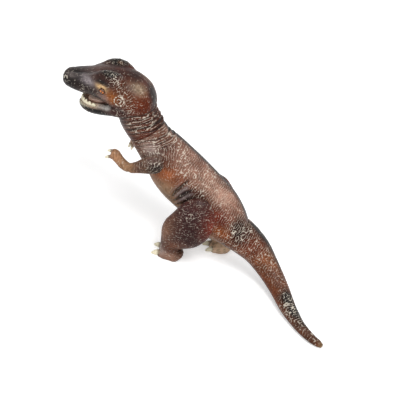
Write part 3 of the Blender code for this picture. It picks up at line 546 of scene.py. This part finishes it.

# dark stripe along the far side of the back and on down the tail: partly the back's dark stripe, partly
# painted shade where the far side turns away from the light
backStripeAndShade = {"path": [(-8, -86, 140), (-8, -60, 131), (-7, -30, 117), (-7, 0, 102.5), (-6, 30, 84),
                       (-3, 60, 60.5), (0, 83, 38), (11, 103, 20)],
              "hex": "1f120e", "width": 6.5, "strength": 0.95, "brush": -0.9}

# cream gum band under the teeth and grey lip behind it, in mm: height of its middle along the jaw, half
# height, where the grey takes over, its upright grooves, where it ends toward the corner of the mouth, and
# how far from the middle plane it starts
gumBand = {"along": (-168, -156, -148, -142, -130), "heights": (131.6, 136.0, 139.3, 141.6, 144.6),
           "halfHeight": 2.0, "frontHex": "cfcab4", "rearHex": "aeaba6", "rearFrom": (-152.0, -142.0),
           "groovePitch": 2.3, "grooveDark": 0.6, "corner": (-129.0, -137.0), "inner": (4.0, 7.0)}

# the mouth's floor: pink where it looks up, round one place
mouthFloor = {"hex": "e0b8a0", "centre": (0, -153, 139), "size": (13, 13, 8), "strength": 1.6,
              "facing": (0.1, 0.5)}

# painted highlight: light grey on the crests of the folds before the thigh; behind noCream, along the body in
# mm, no crest takes cream
thighFoldEdges = {"hex": "8f8280", "centre": (23, -29, 82), "size": (14, 13, 16), "strength": 0.8,
                  "noCream": (-50.0, -42.0)}

# what the relief does to the paint: height of a fold's crest and depth of its groove in mm over which they
# take paint, how much cream and wash they take, and how much wider strokes get on a crest
reliefPaint = {"crest": (0.35, 0.8), "crestCream": 0.35, "crestLine": 0.35, "groove": (-0.15, -0.8),
               "grooveWash": 0.75, "ringCream": 1.4}
bellTop = 1.35    # every spray is a bell curve raised by this and cut off flat at 1

# base colours of the belly, the flank and the back
sectionColours = {
    "torso": ("8a6a56", "6e4334", "8a6557"),
    "tail": ("56443b", "70422f", "70493a"),
    "head": ("5f4c48", "5f321f", "4a2f26"),
    "leg": ("4c3431", "4c3431", "4c3431"),
    "arm": ("8a6850", "8a6850", "8a6850"),
}
sectionFade = (0.25, 0.75)    # part of the section over which the flank turns into the back, or the belly

# how much cream the brush leaves: everywhere, more or less around some places, and along some lines
brushBase = {"torso": 0.66, "tail": 0.54, "head": -0.20, "leg": 0.12, "arm": -0.1}
brushSpots = {
    "torso": [((20, -70, 128), (16, 20, 13), 0.14), ((14, -20, 108), (16, 34, 16), 0.10),
              # (16, 14, 91) keeps cream off the painted highlight on the hip
              ((16, 14, 91), (9, 11, 7), -0.15), ((23, -52, 88), (14, 17, 17), -0.95),
              ((10, -44, 68), (22, 40, 10), -0.70), ((16, 42, 62), (13, 11, 13), 0.55),
              ((25, 18, 60), (14, 16, 14), -0.30), ((25, -27, 82), (8, 9, 12), -0.40)],
    "tail": [((13, 46, 58), (13, 14, 15), 0.55), ((10, 84, 40), (14, 26, 10), 0.10),
             ((50, 126, 16), (16, 22, 9), 0.70), ((30, 96, 12), (60, 40, 11), -0.75),
             ((66, 150, 5), (16, 16, 10), -0.35)],
    "head": [((20, -96, 142), (24, 14, 14), 1.00), ((10, -115, 130), (10, 7, 7), -0.90),
             ((17, -134, 181), (10, 13, 7), 0.30), ((18, -104, 172), (12, 12, 9), 0.25),
             ((20, -147.5, 170), (7, 6, 8), -0.60),
             ((16, -156, 150), (8, 18, 6), 0.30), ((25, -124.3, 160.6), (8, 7, 7), -0.45)],
    "leg": [((37, -10, 72), (12, 18, 12), 0.20), ((36, -18, 8), (18, 22, 9), -0.40),
            ((34, -36, 50), (9, 8, 22), -0.25), ((32, 14, 62), (10, 9, 14), 0.10)],
    "arm": [((31, -68, 110), (9, 12, 11), 0.95), ((35, -84, 103), (8, 7, 8), 0.40)],
}
brushLines = {
    "head": [([(14, -144, 180), (20, -134, 179), (24, -122, 172), (25, -117, 165), (23, -112.5, 159),
               (22, -119, 149)], 7.5, 0.78),
             ([(12, -112, 184), (11, -101, 176)], 1.6, 0.80)],
}

# the brush spares the belly: by how much, and over which part of the section
bareBelly = {"brush": 0.6, "section": (-0.35, -0.75)}


def loneWeight(points, centre, size):
    # Bell curve of the distance from the spot, in units of its size
    away = (points - np.array(centre)) / np.array(size)
    return np.exp(-(away ** 2).sum(axis=1))


def spotWeight(points, centre, size):
    # The same on both sides: the right side mirrors the left, but the tail bends to one side, so back there
    # nothing is mirrored.
    left = points.copy()
    left[:, 0] = np.where(points[:, 1] < 45.0, np.abs(left[:, 0]), left[:, 0])
    return loneWeight(left, centre, size)


def stripeShare(points):
    # Bell curve of the distance from the middle of the stripe, flat on top
    distance = nearestOnPath(points, backStripeAndShade["path"])[0]
    return np.minimum(1.0, bellTop * np.exp(-(distance / backStripeAndShade["width"]) ** 2))


def gumShare(points):
    # Bell curve of the height above or below the mouth line, fading out toward the corner of the mouth and
    # toward the middle plane
    line = np.interp(points[:, 1], gumBand["along"], gumBand["heights"])
    bell = np.exp(-((points[:, 2] - line) / gumBand["halfHeight"]) ** 2)
    outside = smoothStep(*gumBand["inner"], np.abs(points[:, 0]))
    return bell * smoothStep(*gumBand["corner"], points[:, 1]) * outside


# where one set of wrinkles fades into another, in mm along the neck or along the body
fieldFades = {"headToNeck": (33.0, 27.0), "bodyToNeck": (-20.0, -9.0), "bodyToShoulder": (-38.0, -56.0),
              "tailToEnd": (92.0, 112.0)}


def skinField(points, zone):
    along = roundTheNeck(points)[0]
    if zone == "head":
        onNeck = smoothStep(*fieldFades["headToNeck"], along)
        return crossFade(wrinkleField(points, "head", 11), wrinkleField(points, "neck", 12), onNeck)
    if zone == "torso":
        forward = smoothStep(*fieldFades["bodyToShoulder"], points[:, 1])
        body = crossFade(wrinkleField(points, "torso", 21), wrinkleField(points, "shoulder", 22), forward)
        onNeck = smoothStep(*fieldFades["bodyToNeck"], along)
        return crossFade(body, wrinkleField(points, "neck", 12), onNeck)
    if zone == "tail":
        atEnd = smoothStep(*fieldFades["tailToEnd"], points[:, 1])
        return crossFade(wrinkleField(points, "tail", 31), wrinkleField(points, "tailEnd", 32), atEnd)
    return wrinkleField(points, zone, 41)


def brushAmount(points, zone, up):
    brush = np.full(len(points), brushBase[zone])
    for centre, size, amount in brushSpots[zone]:
        brush += amount * spotWeight(points, centre, size)
    if zone in ("torso", "tail"):
        # no cream on the dark stripe and painted shade of the far side of the back
        brush += backStripeAndShade["brush"] * stripeShare(points)
    for line, width, amount in brushLines.get(zone, []):
        distance = nearestOnPath(mirrored(points), line)[0]
        brush += amount * np.exp(-(distance / width) ** 4)
    if zone in ("torso", "tail"):
        brush -= bareBelly["brush"] * smoothStep(*bareBelly["section"], up)
    return brush


def paintedOver(colour, coat, weight):
    # A new coat of one colour, or of one for each point, over what is there
    return colour + (coat - colour) * weight[:, None]


def paintSkin(piece, zone, points, normals, folded, onRing, field, up, brush):
    # Base colour by the place on the section, then the airbrush passes, then the brush and wash masks
    belly, flank, back = [sprayColour(colour) for colour in sectionColours[zone]]
    colour = paintedOver(flank, belly, smoothStep(*sectionFade, -up))
    colour = paintedOver(colour, back, smoothStep(*sectionFade, up))
    passes = [(spray, spotWeight) for spray in sprays[zone]]
    # the one-sided pass is painted light on the right foot
    passes += [(spray, loneWeight) for spray in loneSprays.get(zone, [])]
    for (hexColour, centre, size, strength), bell in passes:
        weight = strength * np.minimum(1.0, bellTop * bell(points, centre, size))
        colour = paintedOver(colour, sprayColour(hexColour), weight)
    if zone in ("torso", "tail"):
        # the back's dark stripe, with painted shade along the far side
        weight = backStripeAndShade["strength"] * stripeShare(points)
        colour = paintedOver(colour, sprayColour(backStripeAndShade["hex"]), weight)
    groove = reliefPaint["grooveWash"] * smoothStep(*reliefPaint["groove"], folded)
    if zone == "head":
        gum = np.minimum(1.0, bellTop * gumShare(points))
        rear = smoothStep(*gumBand["rearFrom"], points[:, 1])
        front = np.tile(sprayColour(gumBand["frontHex"]), (len(points), 1))
        colour = paintedOver(colour, paintedOver(front, sprayColour(gumBand["rearHex"]), rear), gum)
        ribbed = (0.5 + 0.5 * np.cos(2.0 * np.pi * points[:, 1] / gumBand["groovePitch"])) ** 3
        groove = np.maximum(groove, gumBand["grooveDark"] * gum * ribbed * (1.0 - rear))
        brush = brush - gum
        lookingUp = smoothStep(*mouthFloor["facing"], normals[:, 2])
        floor = lookingUp * spotWeight(points, mouthFloor["centre"], mouthFloor["size"])
        weight = np.minimum(1.0, mouthFloor["strength"] * floor)
        colour = paintedOver(colour, sprayColour(mouthFloor["hex"]), weight)
    crest = smoothStep(*reliefPaint["crest"], folded)
    if zone == "torso":
        # painted highlight on the crests of the folds before the thigh
        foldHighlight = crest * spotWeight(points, thighFoldEdges["centre"], thighFoldEdges["size"])
        colour = paintedOver(colour, sprayColour(thighFoldEdges["hex"]), thighFoldEdges["strength"] * foldHighlight)
        # Only the neck's rings and the shoulder's folds take cream on their crests
        crest = crest * (1.0 - smoothStep(*thighFoldEdges["noCream"], points[:, 1]))
    storeAttribute(piece.data, "paint", colour)
    storeAttribute(piece.data, "ridge", field * (1.0 - reliefPaint["crestLine"] * crest) * (1.0 - onRing))
    brush = brush + reliefPaint["crestCream"] * crest + reliefPaint["ringCream"] * onRing
    storeAttribute(piece.data, "brush", np.clip(brush, -1.0, 1.5))
    storeAttribute(piece.data, "groove", groove)


skins = {
    # node: piece name, body, zone, voxel in mm
    "torso_shell": ("torso_skin", "torso", "torso", 0.86),
    "head_shell": ("head_skin", "head", "head", 0.72),
    "tail_shell": ("tail_skin", "tail", "tail", 0.70),
    "left_leg": ("left_leg_skin", "leg_left", "leg", 0.68),
    "right_leg": ("right_leg_skin", "leg_right", "leg", 0.68),
    "left_arm": ("left_arm_skin", "arm_left", "arm", 0.42),
    "right_arm": ("right_arm_skin", "arm_right", "arm", 0.42),
}

# radius of the room in which a casting turns against its neighbour, and of its plug, in mm
jointRooms = {"neck": (22.0, 16.0), "tail": (22.0, 14.0), "hip": (33.0, 11.0), "shoulder": (16.0, 8.0)}
# distance from the joint's plane in mm over which the relief stops, beside the faces and round the plug, and
# the same outward from the radius
jointFades = {"face": (2.0, 0.6), "plug": (9.0, 7.5), "rim": 2.0}


def matedShare(points):
    # 1 on the open skin, 0 on the faces that turn against each other and on the plugs, which stay as packed
    free = np.ones(len(points))
    for joint in frame["joints"]:
        room, plug = [value for key, value in jointRooms.items() if key in joint["name"]][0]
        away = points - (np.array(joint["pos_m"]) - home) / mm
        axis = np.array(joint["axis"]) / np.linalg.norm(joint["axis"])
        plane = np.abs(away @ axis)
        radial = np.linalg.norm(away - np.outer(away @ axis, axis), axis=1)
        rim = jointFades["rim"]
        free *= 1.0 - smoothStep(*jointFades["face"], plane) * smoothStep(room + rim, room, radial)
        free *= 1.0 - smoothStep(*jointFades["plug"], plane) * smoothStep(plug + rim, plug, radial)
    return free


stride = {"length": 50.0, "hipHeight": 76.0, "footHeight": 8.0}    # mm, right foot behind the left


def strideShift(points, node):
    # The right leg stands further back, so its points are moved forward to look up the left leg's paint
    if node != "right_leg":
        return points
    moved = points.copy()
    moved[:, 1] -= stride["length"] * smoothStep(stride["hipHeight"], stride["footHeight"], points[:, 2])
    return moved


def makeSkins(vinyl):
    for node, (name, body, zone, voxel) in skins.items():
        piece = skinCopy(node, name, voxel, 3)
        mesh = piece.data
        points = (readPoints(mesh) - home) / mm
        normals = readNormals(mesh)
        marked = strideShift(points, node)
        up = roundTheSpine(marked)
        field = skinField(points, zone)
        brush = brushAmount(marked, zone, up)
        folded = foldedBy(marked, folds[zone])
        if zone in ("torso", "head"):
            folded += ringedNeck(points)
        onRing = np.zeros(len(points))
        if zone == "head":
            for spot in (ear, nostril):
                push, share = ringsAt(points, spot)
                folded += push
                onRing = np.maximum(onRing, share)
        rough = np.clip(wrinkleRelief["bare"] + brush, 0.0, 1.0)
        raised = np.exp(-(field / wrinkleRelief["sharpness"]) ** 2) - wrinkleRelief["level"]
        push = folded + wrinkleRelief["height"] * rough * raised
        push *= matedShare(points)
        writePoints(mesh, (points + normals * push[:, None]) * mm + home)
        paintSkin(piece, zone, marked, normals, folded, onRing, field, up, brush)
        mesh.materials.append(vinyl)
        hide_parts(node)
        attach(piece, body)
        print("skin", name, len(mesh.polygons), "faces")


# claws and teeth

# swell and voxel in mm for a toe's claw and a finger's; stain: share of the length over which it fades
clawPaint = {
    "hornHex": "ece3c6",
    "rootHex": "6b4f3a",
    "roughness": 0.42,
    "ior": 1.52,
    "speckle": 1.6,             # mm
    "speckleGain": (0.35, -0.17),
    "toe": {"swell": 0.5, "voxel": 0.26},
    "finger": {"swell": 0.25, "voxel": 0.16},
    "stainFade": (0.58, 0.30),
    "stain": 0.85,
}
teethPaint = {"voxel": 0.28, "gumHeight": 133.6, "gumSlope": 0.22, "gumFrom": -166.0, "fade": (2.2, 0.3),
              "stain": 0.6}


def paintedHorn(name, hornHex, rootHex):
    # The same vinyl, brushed cream or pink by hand, with a brown wash that stays at the root
    material, shader = newMaterial(name)
    tree = material.node_tree
    stain = addNode(material, "ShaderNodeAttribute", {"attribute_name": "root"}).outputs["Fac"]
    where = addNode(material, "ShaderNodeTexCoord").outputs["Object"]
    size = clawPaint["speckle"] * mm
    speckle = addNode(material, "ShaderNodeTexNoise", {"Scale": 1.0 / size, "Detail": 2.0},
                      Vector=where).outputs["Fac"]
    gain, level = clawPaint["speckleGain"]
    edge = addNode(material, "ShaderNodeMath", {"operation": "MULTIPLY_ADD", 1: gain, 2: level},
                   s0=speckle).outputs[0]
    share = addNode(material, "ShaderNodeMath", {"operation": "ADD", "use_clamp": True},
                    s0=stain, s1=edge).outputs[0]
    mix = addNode(material, "ShaderNodeMix", {"data_type": "RGBA"})
    tree.links.new(share, mix.inputs[0])
    mix.inputs[6].default_value = (*toLinear(hornHex), 1.0)
    mix.inputs[7].default_value = (*toLinear(rootHex), 1.0)
    tree.links.new(mix.outputs[2], shader.inputs["Base Color"])
    shader.inputs["Roughness"].default_value = clawPaint["roughness"]
    shader.inputs["IOR"].default_value = clawPaint["ior"]
    return material


def makeClaws(horn):
    # Each claw is its packed form remeshed fine; the stain fades from its root to its tip
    for node in [n for n in frame["nodes"] if n.endswith("_claw")]:
        finger = "finger" in node
        form = clawPaint["finger" if finger else "toe"]
        piece = skinCopy(node, node + "_horn", form["voxel"], 4)
        mesh = piece.data
        points = (readPoints(mesh) - home) / mm
        middle = points.mean(axis=0)
        normals = readNormals(mesh)
        # Swollen a little, but not below its own lowest place, which may lie on the floor
        swollen = points + form["swell"] * normals
        swollen[:, 2] = np.maximum(swollen[:, 2], points[:, 2].min())
        writePoints(mesh, swollen * mm + home)
        way = np.linalg.svd(points[::7] - middle, full_matrices=False)[2][0]
        along = (points - middle) @ way
        # The tip is the thin end
        ends = [np.ptp(points[along < np.quantile(along, 0.1)], axis=0).max(),
                np.ptp(points[along > np.quantile(along, 0.9)], axis=0).max()]
        share = (along - along.min()) / np.ptp(along)
        if ends[0] < ends[1]:
            share = 1.0 - share
        storeAttribute(mesh, "root", smoothStep(*clawPaint["stainFade"], share) * clawPaint["stain"])
        mesh.materials.append(horn)
        side = "left" if node.startswith("left") else "right"
        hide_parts(node)
        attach(piece, ("arm_" if finger else "leg_") + side)


def makeTeeth(horn):
    piece = skinCopy("lower_teeth", "lower_teeth_row", teethPaint["voxel"], 2)
    points = (readPoints(piece.data) - home) / mm
    # Brown at the gum, which rises toward the corner of the mouth, and cream at the crowns
    gum = teethPaint["gumHeight"] + teethPaint["gumSlope"] * (points[:, 1] - teethPaint["gumFrom"])
    above, below = teethPaint["fade"]
    stain = smoothStep(gum + above, gum + below, points[:, 2]) * teethPaint["stain"]
    storeAttribute(piece.data, "root", stain)
    piece.data.materials.append(horn)
    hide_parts("lower_teeth")
    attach(piece, "head")


# eyes and tongue

eyePaint = {"irisHex": "dd7a26", "pupilHex": "0e0a08", "lidHex": "5a3a26", "lowerLidHex": "3a2624",
            "irisHalfLength": 2.3, "irisHalfHeight": 1.05, "pupilRadius": 0.8, "tilt": -0.30, "raise": 0.2,
            "voxel": 0.22, "roughness": 0.12, "ior": 1.5}


def paintEyes(enamel):
    # Enamel painted on a small dome: an orange almond, a black pupil and a dark rim, glossy
    for node, side in (("left_eye", 1.0), ("right_eye", -1.0)):
        piece = skinCopy(node, node + "_dome", eyePaint["voxel"], 2)
        mesh = piece.data
        low, high = [np.array(corner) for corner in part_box(node)]
        centre = ((low + high) / 2 - home) / mm
        away = (readPoints(mesh) - home) / mm - centre
        tilt = eyePaint["tilt"]
        along = away[:, 1] * math.cos(tilt) + away[:, 2] * math.sin(tilt)
        across = -away[:, 1] * math.sin(tilt) + away[:, 2] * math.cos(tilt) - eyePaint["raise"]
        almond = np.hypot(along / eyePaint["irisHalfLength"], across / eyePaint["irisHalfHeight"])
        outward = smoothStep(-0.2, 0.4, away[:, 0] * side)
        raised = smoothStep(-0.6, 0.4, across)[:, None]
        colour = toLinear(eyePaint["lowerLidHex"]) * (1.0 - raised) + toLinear(eyePaint["lidHex"]) * raised
        iris = smoothStep(1.08, 0.92, almond) * outward
        colour += (toLinear(eyePaint["irisHex"]) - colour) * iris[:, None]
        pupil = smoothStep(1.15, 0.85, np.hypot(along, across) / eyePaint["pupilRadius"]) * outward
        colour += (toLinear(eyePaint["pupilHex"]) - colour) * pupil[:, None]
        storeAttribute(mesh, "paint", colour)
        mesh.materials.append(enamel)
        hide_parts(node)
        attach(piece, "head")


def paintedEnamel(name):
    # Gloss enamel, brushed on: a small hard highlight
    material, shader = newMaterial(name)
    colour = addNode(material, "ShaderNodeAttribute", {"attribute_name": "paint"}).outputs["Color"]
    material.node_tree.links.new(colour, shader.inputs["Base Color"])
    shader.inputs["Roughness"].default_value = eyePaint["roughness"]
    shader.inputs["IOR"].default_value = eyePaint["ior"]
    return material


# the tongue's pink, made lighter as painted light against the shade that the upper jaw casts into the mouth
tonguePaint = {"hex": "ffdcc8", "darkHex": "6a4238", "voxel": 0.4, "root": (-150.0, -141.0),
               "tip": (-160.0, -164.0), "tipDark": 0.8}


def makeTongue():
    # Pink vinyl, darker toward the root and the tip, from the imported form
    piece = skinCopy("tongue", "tongue_form", tonguePaint["voxel"], 4)
    back = ((readPoints(piece.data) - home) / mm)[:, 1]
    atTip = tonguePaint["tipDark"] * smoothStep(*tonguePaint["tip"], back)
    storeAttribute(piece.data, "root", np.maximum(smoothStep(*tonguePaint["root"], back), atTip))
    piece.data.materials.append(paintedHorn("brushedPinkVinyl", tonguePaint["hex"], tonguePaint["darkHex"]))
    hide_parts("tongue")
    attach(piece, "head")


makeSkins(sprayedVinyl("sprayedAndDryBrushedSoftVinyl"))
print("skins painted")
horn = paintedHorn("brushedCreamVinyl", clawPaint["hornHex"], clawPaint["rootHex"])
makeClaws(horn)
makeTeeth(horn)
paintEyes(paintedEnamel("brushedGlossEnamel"))
makeTongue()
print("claws, teeth, eyes and tongue made")


# camera, as the photograph: from the left, above, with the frame turned

view = {"aim": (0.0, 0.0, 62.0), "distance": 1000.0, "azimuth": 90.0, "elevation": 35.0, "roll": 22.0,
        "focalPixels": 909.0, "framePixels": 416.0}


def makeCamera():
    lens = bpy.data.cameras.new("camera")
    lens.sensor_fit = "HORIZONTAL"
    lens.angle = 2.0 * math.atan(view["framePixels"] / 2 / view["focalPixels"])
    lens.clip_end = 20.0
    azimuth = math.radians(view["azimuth"])
    elevation = math.radians(view["elevation"])
    roll = math.radians(view["roll"])
    back = np.array([math.sin(azimuth) * math.cos(elevation), -math.cos(azimuth) * math.cos(elevation),
                     math.sin(elevation)])
    right = np.cross(-back, (0.0, 0.0, 1.0))
    right /= np.linalg.norm(right)
    up = np.cross(right, -back)
    place = home + (np.array(view["aim"]) + view["distance"] * back) * mm
    turned = Matrix(np.column_stack([right * math.cos(roll) + up * math.sin(roll),
                                     up * math.cos(roll) - right * math.sin(roll), back]).tolist())
    camera = linkIn(bpy.data.objects.new("camera", lens))
    camera.matrix_world = Matrix.Translation(place.tolist()) @ turned.to_4x4()
    bpy.context.scene.camera = camera


# floor, studio lamps and white surroundings

lamps = {
    # name: place in metres, size in metres, watts
    "key": ((0.75, 0.15, 1.55), 0.7, 17.0),
    "fill": ((1.5, -0.9, 0.6), 1.2, 6.0),
    "top": ((-0.4, 0.2, 1.6), 1.2, 5.0),
    "low": ((1.2, 0.45, 0.22), 0.6, 2.0),
    "rim": ((-1.2, 0.6, 0.8), 0.8, 1.5),
}
lampAim = (0.0, 0.0, 0.08)    # metres
# floor: half its side in metres, its grey, and how much white it gives to the camera and to reflections;
# surroundings: how much white they give to the surfaces themselves, where 1 is white to the camera
studio = {"floorHalf": 4.0, "floorGrey": 0.88, "floorRoughness": 0.9, "floorWhite": 0.45, "lift": 0.28}


def makeLamp(name, place, size, watts):
    lamp = bpy.data.lights.new(name, "AREA")
    lamp.size = size
    lamp.energy = watts
    body = linkIn(bpy.data.objects.new(name, lamp))
    body.location = place
    body.rotation_euler = (Vector(lampAim) - Vector(place)).to_track_quat("-Z", "Y").to_euler()


def seenWhite(owner):
    # 1 for rays from the camera, from reflections and through glass, 0 for light that falls on surfaces
    path = addNode(owner, "ShaderNodeLightPath")
    seen = addNode(owner, "ShaderNodeMath", {"operation": "MAXIMUM"},
                   s0=path.outputs["Is Camera Ray"], s1=path.outputs["Is Glossy Ray"]).outputs[0]
    return addNode(owner, "ShaderNodeMath", {"operation": "MAXIMUM"}, s0=seen,
                   s1=path.outputs["Is Transmission Ray"]).outputs[0]


def makeFloor():
    # Pale card: white to the camera and to reflections, and it still takes the figure's soft shadow
    mesh = bpy.data.meshes.new("floor")
    half = studio["floorHalf"]
    corners = [(-half, -half, 0), (half, -half, 0), (half, half, 0), (-half, half, 0)]
    mesh.from_pydata(corners, [], [(0, 1, 2, 3)])
    floor = linkIn(bpy.data.objects.new("floor", mesh))
    material, shader = newMaterial("paleMattCard")
    grey = studio["floorGrey"]
    shader.inputs["Base Color"].default_value = (grey, grey, grey, 1.0)
    shader.inputs["Roughness"].default_value = studio["floorRoughness"]
    shader.inputs["Emission Color"].default_value = (1.0, 1.0, 1.0, 1.0)
    strength = addNode(material, "ShaderNodeMath", {"operation": "MULTIPLY", 1: studio["floorWhite"]},
                       s0=seenWhite(material)).outputs[0]
    material.node_tree.links.new(strength, shader.inputs["Emission Strength"])
    mesh.materials.append(material)


def makeWorld():
    world = bpy.data.worlds.new("studio")
    world.use_nodes = True
    bpy.context.scene.world = world
    background = world.node_tree.nodes["Background"]
    background.inputs["Color"].default_value = (1.0, 1.0, 1.0, 1.0)
    lift = addNode(world, "ShaderNodeMapRange", {"To Min": studio["lift"], "To Max": 1.0},
                   Value=seenWhite(world))
    world.node_tree.links.new(lift.outputs[0], background.inputs["Strength"])


makeCamera()
makeFloor()
makeWorld()
for name, (place, size, watts) in lamps.items():
    makeLamp(name, place, size, watts)
bpy.context.scene.view_settings.view_transform = "Standard"
